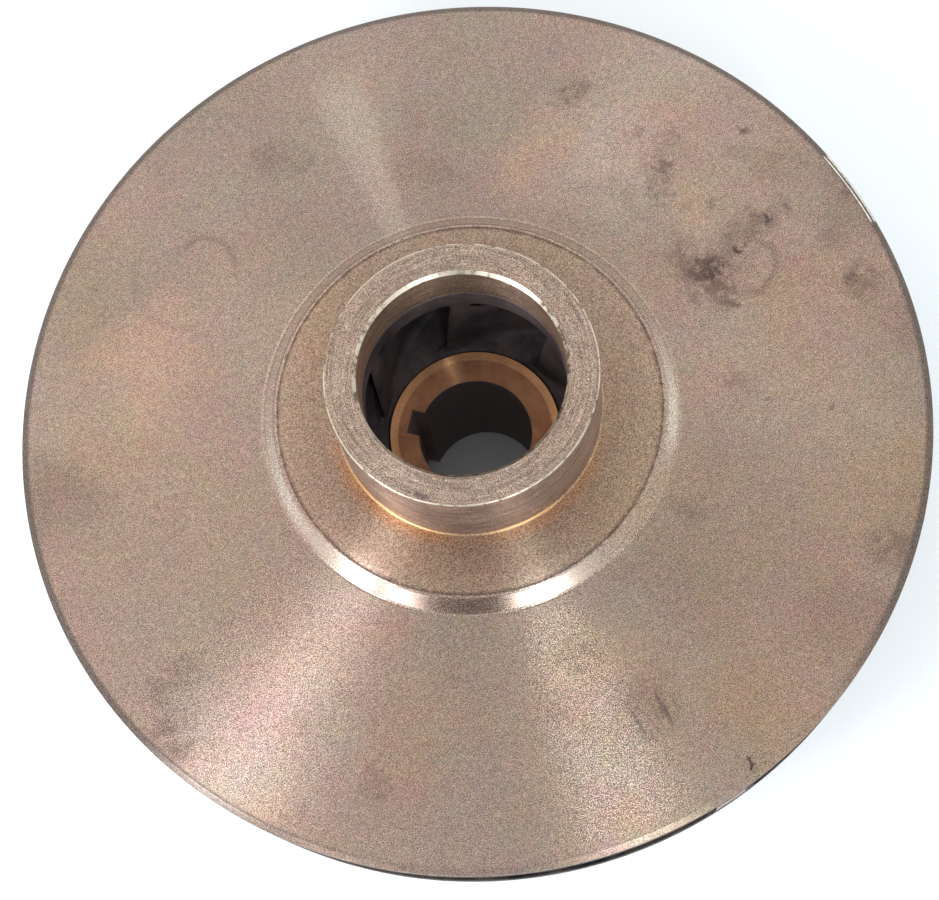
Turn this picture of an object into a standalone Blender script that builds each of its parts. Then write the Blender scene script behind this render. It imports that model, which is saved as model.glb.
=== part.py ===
# Closed pump impeller in bronze, standing on its shaft hub with the suction eye up.
# Units are metres, +Z is up. The origin is on the shaft's axis, at the hub's back face.

import math

import bmesh
import bpy
from mathutils import Matrix

# Driving dimensions: the two discs
DISC_RADIUS = 0.112
BACK_DISC_RADIUS = 0.1116
BACK_DISC_HEIGHT = 0.0423  # underside of the back disc above the hub's back face
BACK_DISC_WALL = 0.0038
OUTLET_WIDTH = 0.0130
FRONT_RIM_WALL = 0.0034
RIM_BEVEL_WIDTH = 0.0014
RIM_BEVEL_HEIGHT = 0.0009
BACK_EDGE_BREAK = 0.0005
BACK_FILLET = 0.0080  # where the back disc runs down into the hub

# The boss on the front disc and the collar round the eye
BOSS_RADIUS = 0.0470
BOSS_FOOT_RADIUS = 0.0514
BOSS_HEIGHT = 0.0036
RING_RADIUS = 0.0323
RING_HEIGHT = 0.0247
RING_EDGE_BREAK = 0.0004
EYE_RADIUS = 0.0245
EYE_CHAMFER = 0.0011
EYE_WALL_DEPTH = 0.0174  # from the collar's top to where the passage starts to widen
COLLAR_FOOT_RADIUS = 0.0291  # the passage's wall where the collar meets the boss

# The shaft hub
BORE_RADIUS = 0.0142875  # an inch and an eighth across
KEY_WIDTH = 0.00635
KEY_ROOF = 0.01723  # from the axis to the keyway's roof
KEY_AZIMUTH = 155.0
HUB_RADIUS = 0.0220
NOSE_RADIUS = 0.0214
NOSE_HEIGHT = 0.0458
NOSE_DISH = 0.0019
NOSE_BEVEL = 0.0006
NOSE_PROUD = 0.0008  # the nose above the passage floor round it
HUB_EDGE_BREAK = 0.0010

# The vanes
VANE_COUNT = 6
VANE_TIP_AZIMUTH = 290.0
VANE_TIP_THICKNESS = 0.0044
VANE_NOSE_THICKNESS = 0.0030
VANE_NOSE_RADIUS_LOW = 0.0232  # radius of the leading edge at the floor
VANE_NOSE_RADIUS_HIGH = 0.0254  # radius of the leading edge at the eye wall
INLET_ANGLE = 25.8
OUTLET_ANGLE = 32.6
VANE_STEPS = 26
VANE_NOSE_STEPS = 6

SEAT_GAP = 0.0003
MOUTH_GAP = 0.0006  # between a vane and the collar's lower edge, which is sharp
OVERRUN = 0.003  # how far a vane or a cutter runs on before it is trimmed
SEGMENTS = 96
FILLET_STEPS = 6
MERGE = 0.00001

# Heights that follow from the dimensions
FLOOR_Z = BACK_DISC_HEIGHT + BACK_DISC_WALL
ROOF_Z = FLOOR_Z + OUTLET_WIDTH
RIM_Z = ROOF_Z + FRONT_RIM_WALL
FACE_Z = RIM_Z + RIM_BEVEL_HEIGHT
BOSS_Z = FACE_Z + BOSS_HEIGHT
RING_TOP_Z = BOSS_Z + RING_HEIGHT
EYE_WALL_Z = RING_TOP_Z - EYE_WALL_DEPTH
FLOOR_INNER_Z = NOSE_HEIGHT - NOSE_PROUD

# The passage roof under the front disc, from its flat stretch in to the collar's foot
ROOF_CURVE = [
    (0.0540, ROOF_Z),
    (0.0440, ROOF_Z + 0.0014),
    (0.0360, ROOF_Z + 0.0029),
    (0.0315, ROOF_Z + 0.0052),
    (COLLAR_FOOT_RADIUS, BOSS_Z),
]


def clear_scene():
    for thing in list(bpy.data.objects):
        bpy.data.objects.remove(thing, do_unlink=True)


def new_collection(name):
    collection = bpy.data.collections.new(name)
    bpy.context.scene.collection.children.link(collection)
    return collection


def bronze(name, color, roughness):
    material = bpy.data.materials.new(name)
    material.use_nodes = True
    shader = material.node_tree.nodes["Principled BSDF"]
    shader.inputs["Base Color"].default_value = (*color, 1.0)
    shader.inputs["Metallic"].default_value = 1.0
    shader.inputs["Roughness"].default_value = roughness
    return material


def arc(centre, radius, start, end, steps):
    """Points on an arc in the profile's plane, angles in degrees from the outward direction."""
    points = []
    for i in range(steps + 1):
        angle = math.radians(start + (end - start) * i / steps)
        points.append((centre[0] + radius * math.cos(angle), centre[1] + radius * math.sin(angle)))
    return points


def turned(name, profile, collection, material):
    """A closed profile of (radius, height) points, running down its outer side, turned about Z."""
    mesh = bpy.data.meshes.new(name)
    count = len(profile)
    edges = [(i, (i + 1) % count) for i in range(count)]
    mesh.from_pydata([(r, 0.0, z) for r, z in profile], edges, [])
    solid = bpy.data.objects.new(name, mesh)
    collection.objects.link(solid)
    mesh.materials.append(material)
    screw = solid.modifiers.new("Turn", "SCREW")
    screw.axis = "Z"
    screw.angle = math.tau
    screw.steps = SEGMENTS
    screw.render_steps = SEGMENTS
    screw.use_merge_vertices = True
    screw.merge_threshold = MERGE
    return solid


def smooth(solid):
    solid.data.shade_smooth()
    solid.data.set_sharp_from_angle(angle=math.radians(30))


def applied(solid):
    """The object with its modifiers taken into its mesh."""
    graph = bpy.context.evaluated_depsgraph_get()
    mesh = bpy.data.meshes.new_from_object(solid.evaluated_get(graph))
    solid.modifiers.clear()
    solid.data = mesh
    return solid


def as_cutter(solid):
    solid.hide_render = True
    solid.display_type = "WIRE"
    return solid


def boolean(solid, other, operation):
    cut = solid.modifiers.new(operation.title(), "BOOLEAN")
    cut.operation = operation
    cut.solver = "EXACT"
    cut.object = other


def front_shroud(collection, material):
    """The front disc: bevelled rim, flat face, rounded shoulder, boss, and the passage roof under it."""
    shoulder = BOSS_FOOT_RADIUS - BOSS_RADIUS
    profile = [
        (DISC_RADIUS - RIM_BEVEL_WIDTH, FACE_Z),
        (DISC_RADIUS, RIM_Z),
        (DISC_RADIUS, ROOF_Z),
    ]
    profile += ROOF_CURVE
    for radius, height in reversed(arc((0.0, 0.0), 1.0, 0, 90, FILLET_STEPS)):
        profile.append((BOSS_RADIUS + shoulder * radius, FACE_Z + BOSS_HEIGHT * height))
    return turned("front_shroud", profile, collection, material)


def eye_ring(collection, material):
    """The collar round the suction eye: flat top, chamfered mouth, straight wall, flared lower end."""
    foot_z = BOSS_Z + SEAT_GAP
    profile = [
        (RING_RADIUS - RING_EDGE_BREAK, RING_TOP_Z),
        (RING_RADIUS, RING_TOP_Z - RING_EDGE_BREAK),
        (RING_RADIUS, foot_z),
        (COLLAR_FOOT_RADIUS, foot_z),
        (EYE_RADIUS, EYE_WALL_Z),
        (EYE_RADIUS, RING_TOP_Z - EYE_CHAMFER),
        (EYE_RADIUS + EYE_CHAMFER, RING_TOP_Z),
    ]
    return turned("eye_ring", profile, collection, material)


def back_shroud(collection, material):
    """The back disc: a plate whose upper face falls a little to the hub, with a fillet behind."""
    inner = HUB_RADIUS + SEAT_GAP
    centre = (inner + BACK_FILLET, BACK_DISC_HEIGHT - BACK_FILLET)
    profile = [
        (BACK_DISC_RADIUS, FLOOR_Z),
        (BACK_DISC_RADIUS, BACK_DISC_HEIGHT + BACK_EDGE_BREAK),
        (BACK_DISC_RADIUS - BACK_EDGE_BREAK, BACK_DISC_HEIGHT),
    ]
    profile += arc(centre, BACK_FILLET, 90, 180, FILLET_STEPS)
    profile += [(inner, FLOOR_INNER_Z)]
    return turned("back_shroud", profile, collection, material)


def shaft_hub(collection, cutters, material):
    """The hub: dished nose, through bore with chamfered ends, and one keyway cut from end to end."""
    nose_bore_z = NOSE_HEIGHT - NOSE_DISH
    profile = [
        (NOSE_RADIUS, NOSE_HEIGHT),
        (HUB_RADIUS, NOSE_HEIGHT - NOSE_BEVEL),
        (HUB_RADIUS, HUB_EDGE_BREAK),
        (HUB_RADIUS - HUB_EDGE_BREAK, 0.0),
        (BORE_RADIUS + HUB_EDGE_BREAK, 0.0),
        (BORE_RADIUS, HUB_EDGE_BREAK),
        (BORE_RADIUS, nose_bore_z),
    ]
    hub = turned("shaft_hub", profile, collection, material)
    mesh = bpy.data.meshes.new("keyway_cutter")
    bar = bmesh.new()
    bmesh.ops.create_cube(bar, size=1.0)
    length = NOSE_HEIGHT + 2 * OVERRUN
    bmesh.ops.scale(bar, verts=bar.verts, vec=(KEY_ROOF, KEY_WIDTH, length))
    bmesh.ops.translate(bar, verts=bar.verts, vec=(KEY_ROOF / 2, 0.0, NOSE_HEIGHT / 2))
    turn = Matrix.Rotation(math.radians(KEY_AZIMUTH), 3, "Z")
    bmesh.ops.rotate(bar, verts=bar.verts, cent=(0, 0, 0), matrix=turn)
    bar.to_mesh(mesh)
    bar.free()
    cutter = bpy.data.objects.new("keyway_cutter", mesh)
    cutters.objects.link(cutter)
    boolean(hub, as_cutter(cutter), "DIFFERENCE")
    return hub


def vane_azimuth(radius):
    """Azimuth of the vane's middle line at a radius."""
    outlet = 1 / math.tan(math.radians(OUTLET_ANGLE))
    inlet = 1 / math.tan(math.radians(INLET_ANGLE))
    span = math.log(DISC_RADIUS / NOSE_RADIUS)
    reach = math.log(DISC_RADIUS / radius)
    return math.radians(VANE_TIP_AZIMUTH) + outlet * reach + (inlet - outlet) * reach**2 / (2 * span)


def vane_outline(nose_radius):
    """The vane's plan outline: one side out to past the rim, back down the other side, and a round nose."""
    end_radius = DISC_RADIUS + OVERRUN
    reach = 0.002  # share of the vane either side of a point that gives its direction

    def middle(share):
        radius = nose_radius * (end_radius / nose_radius) ** share
        angle = vane_azimuth(radius)
        return radius * math.cos(angle), radius * math.sin(angle)

    def frame(share):
        (x0, y0), (x1, y1) = middle(share - reach), middle(share + reach)
        size = math.hypot(x1 - x0, y1 - y0)
        return middle(share), ((x1 - x0) / size, (y1 - y0) / size)

    outer, inner = [], []
    for i in range(VANE_STEPS + 1):
        share = i / VANE_STEPS
        (x, y), (dx, dy) = frame(share)
        growth = (VANE_TIP_THICKNESS - VANE_NOSE_THICKNESS) * min(1.0, 2 * share)
        half = (VANE_NOSE_THICKNESS + growth) / 2
        outer.append((x - dy * half, y + dx * half))
        inner.append((x + dy * half, y - dx * half))
    (x, y), (dx, dy) = frame(0.0)
    half = VANE_NOSE_THICKNESS / 2
    nose = []
    for i in range(1, VANE_NOSE_STEPS):
        angle = math.pi * i / VANE_NOSE_STEPS
        forward, side = -math.sin(angle) * half, -math.cos(angle) * half
        nose.append((x + dx * forward - dy * side, y + dy * forward + dx * side))
    return outer + inner[::-1] + nose


def passage(cutters, material):
    """The space between the discs, less the seat gap, which trims each vane's top, foot and tip."""
    profile = [
        (DISC_RADIUS - SEAT_GAP, ROOF_Z - SEAT_GAP),
        (DISC_RADIUS - SEAT_GAP, FLOOR_Z + SEAT_GAP),
        (HUB_RADIUS + SEAT_GAP, FLOOR_INNER_Z + SEAT_GAP),
        (EYE_RADIUS - MOUTH_GAP, EYE_WALL_Z - MOUTH_GAP),
    ]
    for radius, height in reversed(ROOF_CURVE):
        profile.append((radius - SEAT_GAP / 2, height - SEAT_GAP))
    return as_cutter(turned("passage_trim", profile, cutters, material))


def vanes(collection, cutters, material):
    """One vane, trimmed to the passage, and its copies round the shaft."""
    low = vane_outline(VANE_NOSE_RADIUS_LOW)
    high = vane_outline(VANE_NOSE_RADIUS_HIGH)
    bottom_z, top_z = FLOOR_INNER_Z - OVERRUN, EYE_WALL_Z + OVERRUN
    blade = bmesh.new()
    ring = [blade.verts.new((x, y, bottom_z)) for x, y in low]
    base = blade.faces.new(ring)
    raised = bmesh.ops.extrude_face_region(blade, geom=[base])["geom"]
    lifted = {}
    for vert in raised:
        if isinstance(vert, bmesh.types.BMVert):
            lifted[(round(vert.co.x, 7), round(vert.co.y, 7))] = vert
    for vert, (x, y) in zip(ring, high):
        lifted[(round(vert.co.x, 7), round(vert.co.y, 7))].co = (x, y, top_z)
    bmesh.ops.recalc_face_normals(blade, faces=blade.faces)
    mesh = bpy.data.meshes.new("vane")
    blade.to_mesh(mesh)
    blade.free()
    mesh.materials.append(material)
    first = bpy.data.objects.new("vane_1", mesh)
    collection.objects.link(first)
    boolean(first, passage(cutters, material), "INTERSECT")
    applied(first)
    smooth(first)
    for number in range(2, VANE_COUNT + 1):
        copy = bpy.data.objects.new(f"vane_{number}", first.data)
        copy.rotation_euler.z = math.tau * (number - 1) / VANE_COUNT
        collection.objects.link(copy)


def main():
    clear_scene()
    parts = new_collection("pump_impeller")
    cutters = new_collection("cutters")
    turned_bronze = bronze("turned_bronze", (0.42, 0.30, 0.22), 0.42)
    collar_bronze = bronze("collar_bronze", (0.46, 0.36, 0.28), 0.38)
    hub_bronze = bronze("hub_bronze", (0.62, 0.34, 0.18), 0.30)
    cast_bronze = bronze("cast_bronze", (0.20, 0.13, 0.10), 0.65)
    front_shroud(parts, turned_bronze)
    eye_ring(parts, collar_bronze)
    back_shroud(parts, turned_bronze)
    shaft_hub(parts, cutters, hub_bronze)
    vanes(parts, cutters, cast_bronze)
    for solid in parts.objects:
        if solid.modifiers:
            applied(solid)
            smooth(solid)


main()
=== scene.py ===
# Looks of a bronze pump impeller: one casting, turned all over, seen from above on a pale floor.
# Lengths are metres unless a name says mm. The shaft's axis is Z and the suction eye looks up.

import math

import bmesh
import bpy
from mathutils import Matrix, Vector
from mathutils.geometry import interpolate_bezier


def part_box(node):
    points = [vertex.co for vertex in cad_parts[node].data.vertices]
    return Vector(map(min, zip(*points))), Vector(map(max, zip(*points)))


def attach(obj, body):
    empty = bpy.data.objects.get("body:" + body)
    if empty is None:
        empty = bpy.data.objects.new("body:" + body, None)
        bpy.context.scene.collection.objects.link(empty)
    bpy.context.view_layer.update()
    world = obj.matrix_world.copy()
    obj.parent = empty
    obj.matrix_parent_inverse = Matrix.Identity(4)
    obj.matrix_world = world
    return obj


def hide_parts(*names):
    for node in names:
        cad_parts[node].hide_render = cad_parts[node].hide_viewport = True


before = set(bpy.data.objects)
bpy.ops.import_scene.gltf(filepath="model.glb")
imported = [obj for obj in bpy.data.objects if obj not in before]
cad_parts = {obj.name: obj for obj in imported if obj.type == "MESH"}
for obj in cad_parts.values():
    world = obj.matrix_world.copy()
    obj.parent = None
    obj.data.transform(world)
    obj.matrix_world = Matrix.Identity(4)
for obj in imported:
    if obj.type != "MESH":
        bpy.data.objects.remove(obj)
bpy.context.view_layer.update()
mm = 0.001


def nodeSize(node):
    low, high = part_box(node)
    return {"radius": high[0], "bottom": low[2], "top": high[2]}


frontSize = nodeSize("front_shroud")
ringSize = nodeSize("eye_ring")
backSize = nodeSize("back_shroud")
hubSize = nodeSize("shaft_hub")
print("frame loaded:", len(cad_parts), "nodes")


# Colours and shader nodes

def hexColour(text):
    channels = [int(text[i:i + 2], 16) / 255 for i in (0, 2, 4)]
    linear = [c / 12.92 if c <= 0.04045 else ((c + 0.055) / 1.055) ** 2.4 for c in channels]
    return (*linear, 1.0)


# what a node of each kind does here unless its call says otherwise; a Mix takes its share at input 0
# and its two colours at 6 and 7
usualSettings = {
    "Math": {"operation": "MULTIPLY"}, "VectorMath": {"operation": "MULTIPLY"},
    "MapRange": {"interpolation_type": "SMOOTHSTEP"}, "Mix": {"data_type": "RGBA"},
}


def addNode(tree, kind, inputs=(), output=0, **settings):
    # inputs go by place or by name: another node's socket, a number, a vector or a hex colour
    node = tree.nodes.new("ShaderNode" + kind)
    for name, value in {**usualSettings.get(kind, {}), **settings}.items():
        setattr(node, name, value)
    for name, value in inputs.items() if isinstance(inputs, dict) else enumerate(inputs):
        if isinstance(value, bpy.types.NodeSocket):
            tree.links.new(value, node.inputs[name])
        else:
            node.inputs[name].default_value = hexColour(value) if isinstance(value, str) else value
    return node.outputs[output] if node.outputs else node


def newMaterial(name):
    material = bpy.data.materials.new(name)
    material.use_nodes = True
    tree = material.node_tree
    tree.nodes.clear()
    return material, tree, addNode(tree, "TexCoord", output="Object")


onPlan = (1.0, 1.0, 0.0)  # flattens a place onto the plan
darkestSpeck = 0.4  # the least share of its colour that a speck of grain keeps


def axisGap(tree, place):
    # distance from the shaft's axis
    x, y = addNode(tree, "SeparateXYZ", (place,)).node.outputs[:2]
    squares = addNode(tree, "Math", (x, x, addNode(tree, "Math", (y, y))), operation="MULTIPLY_ADD")
    return addNode(tree, "Math", (squares,), operation="SQRT")


def axisBearing(tree, place):
    # bearing round the shaft's axis in degrees from +X, 0 to 360
    x, y = addNode(tree, "SeparateXYZ", (place,)).node.outputs[:2]
    angle = addNode(tree, "Math", (y, x), operation="ARCTAN2")
    turn = addNode(tree, "Math", (angle, math.degrees(1)))
    return addNode(tree, "Math", (turn, 360.0), operation="FLOORED_MODULO")


def within(tree, value, low, high, soft, most=1.0):
    # most between low and high, fading out over soft on both sides
    rise = addNode(tree, "MapRange", (value, low - soft, low))
    return addNode(tree, "Math", (rise, addNode(tree, "MapRange", (value, high + soft, high, 0.0, most))))


def withinEither(tree, value, stretches):
    # the stronger of two stretches, each as low, high, soft and most
    shares = [within(tree, value, *stretch) for stretch in stretches]
    return addNode(tree, "Math", shares, operation="MAXIMUM")


def shaded(tree, value, stops):
    # colours at their values, with even shades between them
    (last, colour), *others = stops
    for stop, name in others:
        share = addNode(tree, "MapRange", (value, last, stop), interpolation_type="LINEAR")
        colour = addNode(tree, "Mix", {0: share, 6: colour, 7: name}, 2)
        last = stop
    return colour


def pushedPlan(tree, place, lumps, reachMm):
    # the place on the plan, pushed about by a coloured noise so that round patches get uneven edges
    push = addNode(tree, "VectorMath", (lumps, (4 * reachMm * mm,) * 3, (-2 * reachMm * mm,) * 3),
                   operation="MULTIPLY_ADD")
    moved = addNode(tree, "VectorMath", (place, push), operation="ADD")
    return addNode(tree, "VectorMath", (moved, onPlan))


def nearTo(tree, plan, middleMm, farMm, closeMm, most=1.0):
    # most within closeMm of the middle, fading to nothing at farMm
    middle = (middleMm[0] * mm, middleMm[1] * mm, 0.0)
    gap = addNode(tree, "VectorMath", (plan, middle), 1, operation="DISTANCE")
    return addNode(tree, "MapRange", (gap, farMm * mm, closeMm * mm, 0.0, most))


def paintPatches(tree, colour, plan, patches, palette, broken=None):
    # patches are middle and radius in mm, colour's name and strength, each soft from its middle out
    for x, y, radius, name, strength in patches:
        share = nearTo(tree, plan, (x, y), radius * 1.5, radius * 0.2, strength)
        if broken:
            share = addNode(tree, "Math", (share, broken))
        colour = addNode(tree, "Mix", {0: share, 6: colour, 7: palette[name]}, 2)
    return colour


def mottled(tree, colour, lumps, amount):
    # each channel wanders by itself, which gives the faint pink and green clouding of an old patina
    tint = addNode(tree, "VectorMath", (lumps, (amount,) * 3, (1 - amount / 2,) * 3),
                   operation="MULTIPLY_ADD")
    return addNode(tree, "Mix", {0: 1.0, 6: colour, 7: tint}, 2, blend_type="MULTIPLY")


def grained(tree, colour, grain, contrast):
    # lightens and darkens a colour by a share of itself
    around = addNode(tree, "Math", (grain, 0.5), operation="SUBTRACT")
    gain = addNode(tree, "Math", (around, contrast, 1.0), operation="MULTIPLY_ADD")
    gain = addNode(tree, "Math", (gain, darkestSpeck), operation="MAXIMUM")
    return addNode(tree, "Mix", {0: 1.0, 6: colour, 7: gain}, 2, blend_type="MULTIPLY")


def withRings(tree, height, along, pitchMm, ringMm):
    # adds tool rings to a height in millimetres, uneven from ring to ring; along is the way the tool fed
    turns = addNode(tree, "Math", (along, math.tau / (pitchMm * mm)))
    line = addNode(tree, "CombineXYZ", (along,))
    uneven = addNode(tree, "TexNoise", (line, 0, 1000 / (pitchMm * 6), 1.0, 0.7))
    rings = addNode(tree, "Math", (addNode(tree, "Math", (turns,), operation="SINE"),
                                   addNode(tree, "Math", (uneven, ringMm))))
    return addNode(tree, "Math", (*height, rings), operation="MULTIPLY_ADD")


def finishMetal(tree, colour, roughness, heightMm=None, metallic=1.0, anisotropy=0.0, specular=0.5):
    # heights are in millimetres, and roughness is a pattern, its gain and its least value
    inputs = {"Base Color": colour, "Roughness": addNode(tree, "Math", roughness, operation="MULTIPLY_ADD"),
              "Metallic": metallic, "Anisotropic": anisotropy, "Specular IOR Level": specular}
    if heightMm:
        inputs["Normal"] = addNode(tree, "Bump", {"Height": heightMm, "Strength": 1.0, "Distance": mm})
    if anisotropy:
        inputs["Tangent"] = addNode(tree, "Tangent", direction_type="RADIAL", axis="Z")
        inputs["Anisotropic Rotation"] = 0.25
    addNode(tree, "OutputMaterial", {"Surface": addNode(tree, "BsdfPrincipled", inputs)})


# Turned bronze under a thin taupe patina. The tool's rings stretch each light into a fan along the radius.
# Grain and tool rings are drawn about twice as coarse as the real ones, which would not show.
discPatina = {
    # pale is patina colour and also the painted highlight of the far fan and of the shoulder; the orange
    # one is a painted reflection of the collar's foot; rim is painted shade on the rim's bevel
    "colours": {
        "cool": "a99284", "pink": "ab8f7f", "yellow": "bb9b85", "tan": "ab8867", "brown": "a28773",
        "grey": "998171", "stain": "725c53", "spot": "5a4846", "pale": "c7b2a2", "paintedReflection": "bf8355",
        "line": "665145", "rim": "625750", "burr": "f0e4d4",
    },
    # the flat faces are as the tool left them, the boss's shoulder is burnished by handling
    "turned": {"name": "turnedBronzeTaupePatina", "roughness": 0.37, "anisotropy": 0.95, "marked": True},
    "burnished": {"name": "burnishedBronzeShoulder", "roughness": 0.21, "anisotropy": 0.0, "marked": True},
    "back": {"name": "turnedBronzeBack", "roughness": 0.4, "anisotropy": 0.9, "marked": False},
    "metallic": 0.85, "grainMm": 0.26, "grainContrast": 3.6, "grainHeightMm": 0.008,
    "toolPitchMm": 0.5, "toolHeightMm": 0.004,
    "blendMm": 30, "broadMm": 22, "broadMottle": 0.24, "fineMm": 4, "fineMottle": 0.22,
    "speckleMm": 1.2, "speckleContrast": 0.6, "stainLumpMm": 3.2,
    "cloudsMm": [  # broad soft clouds of the patina: middle, radius, colour, strength; the rim clouds are painted shade on the rim's bevel
        (-60, 80, 46, "cool", 0.8), (25, 88, 40, "cool", 0.8), (-84, 54, 22, "grey", 0.5),
        (-102, 5, 14, "grey", 1.0), (64, -46, 34, "grey", 0.8), (40, -52, 14, "grey", 0.4),
        (48, 58, 16, "pale", 0.3), (-78, 2, 34, "pink", 0.9), (-70, -32, 26, "pink", 0.7),
        (84, 18, 34, "pink", 0.7), (64, 38, 9, "yellow", 0.7), (-74, 32, 15, "yellow", 0.7),
        (31, 62, 10, "yellow", 0.8), (98, -40, 16, "tan", 0.35), (46, -90, 20, "tan", 0.4),
        (72, -78, 10, "tan", 0.3), (18, -64, 9, "yellow", 0.4), (-14, -74, 22, "tan", 0.15),
        (118, -12, 22, "rim", 0.42), (112, -54, 22, "rim", 0.4), (110, 34, 18, "rim", 0.35),
        (94, -80, 16, "rim", 0.28), (9, -78, 10, "brown", 0.55), (-104, 4, 12, "rim", 0.2),
        (3, 62, 7, "grey", 0.5), (3, 78, 7, "grey", 0.35), (16.5, -104, 8, "tan", 0.45),
        (-66, -84, 8, "yellow", 0.5), (90, 2, 20, "brown", 0.4), (76, -72, 14, "grey", 0.9),
    ],
    "stainsMm": [  # oil and water stains and small pits
        (65.5, 20.5, 6.5, "stain", 0.8), (67.5, 14.5, 4, "stain", 0.5), (74, 27, 6, "stain", 0.35),
        (82, 31, 4, "stain", 0.45), (66, 20.5, 3.4, "spot", 0.65), (70, 12, 1.6, "spot", 0.6),
        (59.5, 27, 5, "stain", 0.35), (61, 50.5, 4.5, "stain", 0.35), (58.5, 44, 3.5, "stain", 0.3),
        (84.3, 57, 1.5, "spot", 0.6), (88.5, 33.5, 2.2, "spot", 0.45), (101, 10, 5, "stain", 0.5),
        (98, 22, 4, "stain", 0.3), (90, 45, 6, "grey", 0.6), (44.5, 78.5, 4.5, "stain", 0.45),
        (57, 61, 2, "stain", 0.4), (-35, 79.5, 5.5, "stain", 0.25), (-27, 76, 4, "stain", 0.22),
        (66, -9, 4.5, "stain", 0.3), (90, -57, 6.5, "stain", 0.42), (-87, -50, 5, "stain", 0.3),
        (-86, -61, 5, "stain", 0.45), (-80, -47, 4, "stain", 0.3), (-84, -66, 3, "spot", 0.3),
        (-42, -85.5, 3.5, "stain", 0.3), (-40.5, -80, 1.6, "stain", 0.4), (-55, -66, 4, "grey", 0.6),
        (-24.5, -52, 0.5, "spot", 0.6), (44, -99.3, 1, "spot", 0.8), (12, -66, 5, "grey", 0.8),
        (25, -80, 7, "stain", 0.3), (46, -37, 4, "stain", 0.3), (82.5, 31.5, 1.3, "spot", 0.8),
        (75, 25, 1.6, "spot", 0.7), (103.5, 33, 1.3, "spot", 0.6), (70.5, 39, 1.2, "spot", 0.5),
        (85.5, -21, 1.2, "spot", 0.5), (70.5, -14.5, 1, "spot", 0.5), (98, 11, 1.6, "spot", 0.5),
        (62, 51.5, 2.2, "stain", 0.5),
    ],
    "dropsMm": [  # rims of dried drops: middle, radius, bearing of the part that shows, strength
        (-57, 53, 8, 60, 0.33), (75, 20.5, 7.6, 340, 0.4), (-62, 52, 14, 200, 0.14),
    ],
    # places and widths below are in mm; stretches of bearing are from, to, soft and strength, in degrees
    "scratch": {"middle": (25, -83), "radius": 7.5, "lean": -13, "width": 0.8, "strength": 0.6},
    "smudge": {"middle": (70, 42), "radius": 44, "lump": 9, "strength": 0.25},
    # the far-side fan of the near strip lamp, painted in as a pale highlight
    "farFanHighlight": {"stretch": (97, 100, 4, 1), "inner": 54, "outer": 92, "soft": 12, "strength": 0.36},
    # these stretches lie where the lamps' fans fall: the raised colour contrast there is painted highlight
    # sparkle, the extra bump is tool chatter
    "chatterAndSparkle": {"stretches": ((273, 282, 6, 1), (214, 230, 12, 0.4)), "inner": 56, "outer": 106, "soft": 5,
                "heightMm": 0.006, "contrast": 4.5},
    "burr": {"stretch": (13, 23, 0.8, 1), "lines": ((1.5, 1.2), (0.5, 0.2)), "soft": 0.1},
    # the orange band beside the collar is a painted reflection of the collar's bright foot
    "boss": {"browner": 0.35, "paintedReflection": 0.75, "paintedReflectionWidth": 5,
             "paintedReflectionSides": ((198, 240, 24, 1), (274, 316, 24, 0.7))},
    # the rim entries set painted shade round the rim's bevel, weaker on the near side
    "dirt": {"lump": 3.5, "edgeWidth": 0.8, "edge": 0.6, "rimShadeFrom": 2.4, "rimShadeTo": 1.3, "rim": 0.8,
             "nearRimLessShade": (250, 300, 25, 0.65)},
    # the shoulder carries painted highlights on its two near stretches and a band on the far side, and
    # painted shade in its dull stretch
    "shoulder": {"in": 48.6, "out": 50.2, "soft": 1.6, "rubbedHighlit": ((214, 236, 14, 1), (274, 288, 12, 1)),
                 "lighter": 0.75, "smoother": 0.85, "farHighlight": (49.0, 50.3, 1.2), "farHighlightShare": 0.5,
                 "nearSide": (215, 325, 20, 1), "dull": (246, 262, 10, 0.6)},
}


def dropRims(tree, colour, plan, look):
    for x, y, radius, bearing, strength in look["dropsMm"]:
        gap = addNode(tree, "VectorMath", (plan, (x * mm, y * mm, 0.0)), 1, operation="DISTANCE")
        offRim = addNode(tree, "Math", (gap, radius * mm), operation="SUBTRACT")
        offRim = addNode(tree, "Math", (offRim,), operation="ABSOLUTE")
        line = addNode(tree, "MapRange", (offRim, 1.5 * mm, 0.2 * mm, 0.0, strength))
        angle = math.radians(bearing)
        shows = (x + 0.9 * radius * math.cos(angle), y + 0.9 * radius * math.sin(angle))
        side = nearTo(tree, plan, shows, radius * 1.5, radius * 0.8)
        share = addNode(tree, "Math", (line, side))
        colour = addNode(tree, "Mix", {0: share, 6: colour, 7: look["colours"]["stain"]}, 2)
    return colour


def scuffs(tree, colour, plan, look):
    # a bundle of fine dark scratches
    scratch = look["scratch"]
    lean = (0, 0, math.radians(scratch["lean"]))
    turned = addNode(tree, "Mapping", {"Vector": plan, "Rotation": lean})
    along = addNode(tree, "VectorMath", (turned, (1.0, 0.09, 0.0)))
    lines = addNode(tree, "TexNoise", (along, 0, 1000 / (scratch["width"] * 2), 1.0))
    lines = addNode(tree, "MapRange", (lines, 0.5, 0.62))
    reach = scratch["radius"]
    near = nearTo(tree, plan, scratch["middle"], reach, reach * 0.4, scratch["strength"])
    share = addNode(tree, "Math", (lines, near))
    return addNode(tree, "Mix", {0: share, 6: colour, 7: look["colours"]["spot"]}, 2)


def smudged(tree, colour, plan, look):
    # fingered, blotchy dirt on one side of the disc
    smudge = look["smudge"]
    lumps = addNode(tree, "TexNoise", (plan, 0, 1000 / smudge["lump"], 2.0, 0.65))
    lumps = addNode(tree, "MapRange", (lumps, 0.5, 0.68))
    reach = smudge["radius"]
    near = nearTo(tree, plan, smudge["middle"], reach, reach * 0.3, smudge["strength"])
    share = addNode(tree, "Math", (lumps, near))
    return addNode(tree, "Mix", {0: share, 6: colour, 7: look["colours"]["stain"]}, 2)


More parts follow.
